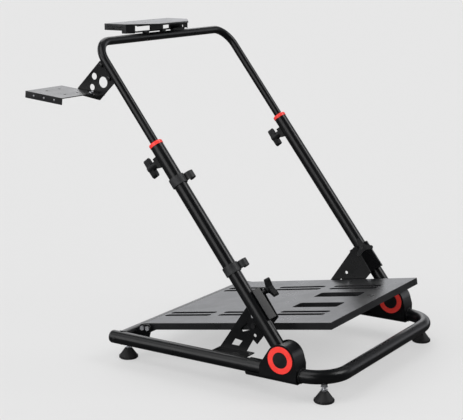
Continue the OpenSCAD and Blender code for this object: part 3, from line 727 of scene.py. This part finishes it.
def make_stage():
    """A pale floor. The camera sees part of its brightness as a flat tone, which softens the shadows."""
    size = 30.0
    seen_tone = (0.64, 0.64, 0.64)
    lighting_tone = (0.5, 0.5, 0.5)
    mirrored_tone = (0.06, 0.06, 0.06)
    flat_share = 0.62
    mesh = bpy.data.meshes.new("floor")
    corners = [(-size, -size, 0), (size, -size, 0), (size, size, 0), (-size, size, 0)]
    mesh.from_pydata(corners, [], [(0, 1, 2, 3)])
    floor = bpy.data.objects.new("floor", mesh)
    bpy.context.scene.collection.objects.link(floor)
    material = bpy.data.materials.new("floor")
    material.use_nodes = True
    tree = material.node_tree
    shader = tree.nodes["Principled BSDF"]
    shader.inputs["Roughness"].default_value = 1.0
    shader.inputs["Specular IOR Level"].default_value = 0.0
    path = tree.nodes.new("ShaderNodeLightPath")
    seen = path.outputs["Is Camera Ray"]
    unseen = add_colour(tree, path.outputs["Is Glossy Ray"], lighting_tone, mirrored_tone)
    shown = tree.nodes.new("ShaderNodeMix")
    shown.data_type = "RGBA"
    shown.inputs["B"].default_value = (*seen_tone, 1)
    tree.links.new(seen, shown.inputs["Factor"])
    tree.links.new(unseen, shown.inputs["A"])
    tree.links.new(shown.outputs["Result"], shader.inputs["Base Color"])
    flat = tree.nodes.new("ShaderNodeEmission")
    flat.inputs["Color"].default_value = (*backdrop, 1)
    part_flat = tree.nodes.new("ShaderNodeMath")
    part_flat.operation = "MULTIPLY"
    part_flat.inputs[1].default_value = flat_share
    tree.links.new(seen, part_flat.inputs[0])
    blend = tree.nodes.new("ShaderNodeMixShader")
    tree.links.new(part_flat.outputs["Value"], blend.inputs["Fac"])
    tree.links.new(shader.outputs["BSDF"], blend.inputs[1])
    tree.links.new(flat.outputs["Emission"], blend.inputs[2])
    tree.links.new(blend.outputs["Shader"], tree.nodes["Material Output"].inputs["Surface"])
    mesh.materials.append(material)


def make_world():
    """A plain sky for the light. The camera sees the flat backdrop, and gloss sees a softly lit room."""
    sky_strength = 0.6
    room_colour = (0.95, 0.96, 1)
    world = bpy.data.worlds.new("world")
    world.use_nodes = True
    bpy.context.scene.world = world
    tree = world.node_tree
    tree.nodes.clear()
    out = tree.nodes.new("ShaderNodeOutputWorld")
    path = tree.nodes.new("ShaderNodeLightPath")
    coords = tree.nodes.new("ShaderNodeTexCoord")
    sky = tree.nodes.new("ShaderNodeBackground")
    sky.inputs["Color"].default_value = (1, 1, 1, 1)
    sky.inputs["Strength"].default_value = sky_strength
    seen = tree.nodes.new("ShaderNodeBackground")
    seen.inputs["Color"].default_value = (*backdrop, 1)

    # Gloss meets a pale wall on the far side, which fades upwards
    facing = tree.nodes.new("ShaderNodeVectorMath")
    facing.operation = "DOT_PRODUCT"
    facing.inputs[1].default_value = direction(view_azimuth + 180, 0)
    tree.links.new(coords.outputs["Generated"], facing.inputs[0])
    wall = add_ramp(tree, facing.outputs["Value"], low=0.02, high=1.15, low_at=-0.1, high_at=0.6)
    split = tree.nodes.new("ShaderNodeSeparateXYZ")
    tree.links.new(coords.outputs["Generated"], split.inputs["Vector"])
    fade = add_ramp(tree, split.outputs["Z"], low=1.0, high=0.15, low_at=0.2, high_at=0.42)
    faded_wall = tree.nodes.new("ShaderNodeMath")
    faded_wall.operation = "MULTIPLY"
    tree.links.new(wall, faded_wall.inputs[0])
    tree.links.new(fade, faded_wall.inputs[1])
    room = tree.nodes.new("ShaderNodeBackground")
    room.inputs["Color"].default_value = (*room_colour, 1)
    tree.links.new(faded_wall.outputs["Value"], room.inputs["Strength"])

    gloss = tree.nodes.new("ShaderNodeMixShader")
    tree.links.new(path.outputs["Is Glossy Ray"], gloss.inputs["Fac"])
    tree.links.new(sky.outputs["Background"], gloss.inputs[1])
    tree.links.new(room.outputs["Background"], gloss.inputs[2])
    mix = tree.nodes.new("ShaderNodeMixShader")
    tree.links.new(path.outputs["Is Camera Ray"], mix.inputs["Fac"])
    tree.links.new(gloss.outputs["Shader"], mix.inputs[1])
    tree.links.new(seen.outputs["Background"], mix.inputs[2])
    tree.links.new(mix.outputs["Shader"], out.inputs["Surface"])


def make_sun(name, azimuth, elevation, strength, spread):
    """A soft sun that shines from that direction, all angles in degrees."""
    data = bpy.data.lights.new(name, "SUN")
    data.energy = strength
    data.angle = math.radians(spread)
    lamp = bpy.data.objects.new(name, data)
    bpy.context.scene.collection.objects.link(lamp)
    lamp.rotation_mode = "QUATERNION"
    lamp.rotation_quaternion = direction(azimuth, elevation).to_track_quat("Z", "Y")


make_stage()
make_world()
make_sun("top", azimuth=60, elevation=62, strength=0.9, spread=50)
make_sun("front", azimuth=90, elevation=12, strength=0.7, spread=40)
make_sun("left", azimuth=56, elevation=17, strength=0.6, spread=36)
make_sun("side", azimuth=208, elevation=42, strength=0.8, spread=28)
make_sun("rim", azimuth=306, elevation=37, strength=0.7, spread=40)

bpy.context.scene.view_settings.view_transform = "Standard"
